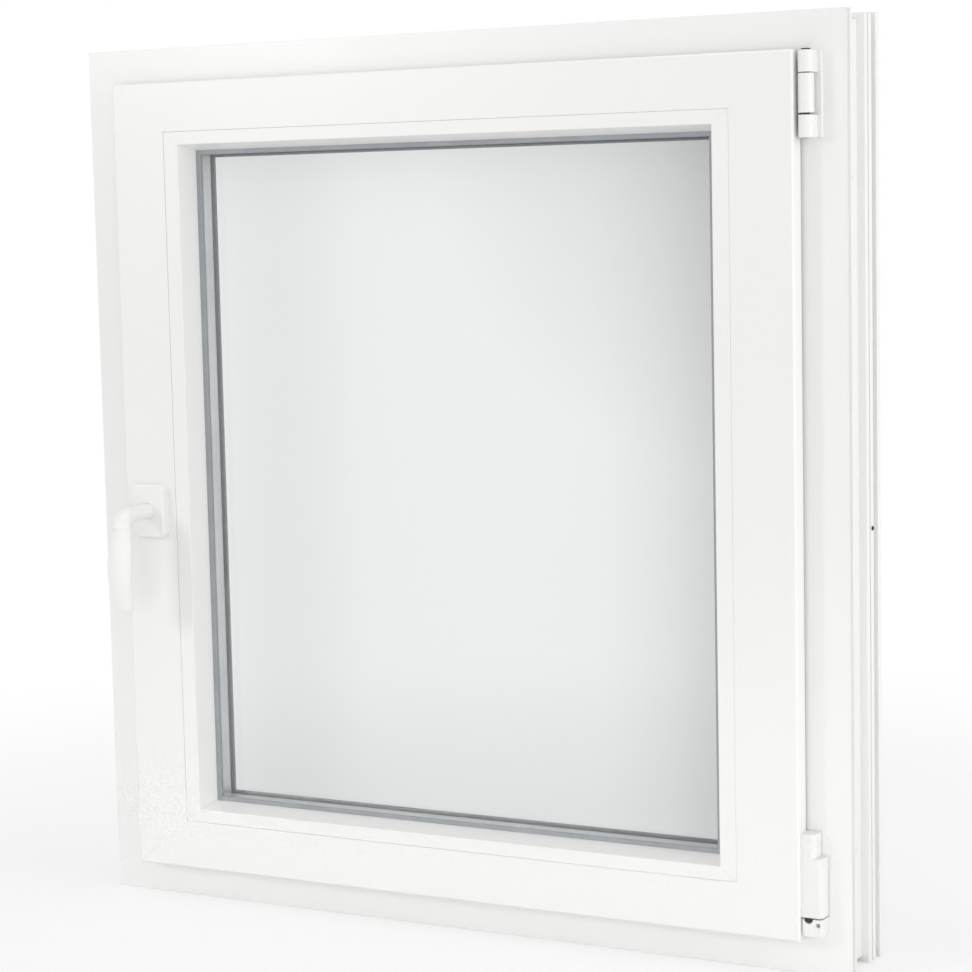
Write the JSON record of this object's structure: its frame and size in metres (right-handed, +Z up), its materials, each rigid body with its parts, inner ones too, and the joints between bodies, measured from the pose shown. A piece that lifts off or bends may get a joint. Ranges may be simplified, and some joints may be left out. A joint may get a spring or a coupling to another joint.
{
  "type": "plastic tilt-and-turn window",
  "caption": "White plastic-framed window with one glazed sash, a lever handle, side hinges and a mitred outer frame for a wall opening.",
  "frame": {"origin": "on the sill's underside, in the middle of the window's width and of its room-side foot's flat", "axes": "+Z up, +X to the right seen from the room, +Y from the room to the outdoors"},
  "size_m": [0.89, 0.193, 0.95],
  "materials": {
    "white_plastic": "smooth white window plastic with a satin gloss",
    "glass": "clear float glass",
    "spacer": "mill aluminium",
    "dark_sealant": "dull sealant",
    "packer_plastic": "moulded plastic",
    "grey_gasket": "soft grey extruded gasket",
    "white_lacquer": "white powder coat",
    "white_cover": "white moulded cover",
    "steel": "zinc-plated steel"
  },
  "bodies": {
    "window": {"frame_head": "white_plastic", "frame_sill": "white_plastic", "frame_left_jamb": "white_plastic", "frame_right_jamb": "white_plastic", "drain_cover_left": "white_plastic", "drain_cover_right": "white_plastic", "sash_top_rail": "white_plastic", "sash_bottom_rail": "white_plastic", "sash_left_stile": "white_plastic", "sash_right_stile": "white_plastic", "bead_top": "white_plastic", "bead_bottom": "white_plastic", "bead_left": "white_plastic", "bead_right": "white_plastic", "glass_inner_pane": "glass", "glass_outer_pane": "glass", "spacer_bar": "spacer", "edge_seal": "dark_sealant", "glazing_blocks": "packer_plastic", "room_glazing_gasket": "grey_gasket", "outdoor_glazing_gasket": "grey_gasket", "room_seal": "grey_gasket", "stop_seal": "grey_gasket", "handle_rosette": "white_lacquer", "top_hinge_plate": "white_cover", "top_hinge_upper_knuckle": "white_cover", "top_hinge_lower_knuckle": "white_cover", "top_hinge_sash_knuckle": "white_cover", "top_hinge_pin": "steel", "bottom_hinge_cover": "white_cover", "bottom_hinge_bearing": "white_cover", "bottom_hinge_pin": "steel", "bottom_hinge_adjuster": "steel", "lock_faceplate": "steel", "lower_striker": "steel", "upper_striker": "steel"},
    "handle": {"handle_neck": "white_lacquer", "handle_grip": "white_lacquer", "handle_spindle": "steel"}
  },
  "joints": [
    {"name": "handle_turn", "type": "hinge", "parent": "window", "child": "handle", "pos_m": [-0.363, -0.043, 0.442], "axis": [0, -1, 0], "range_deg": [0, 180]}
  ]
}
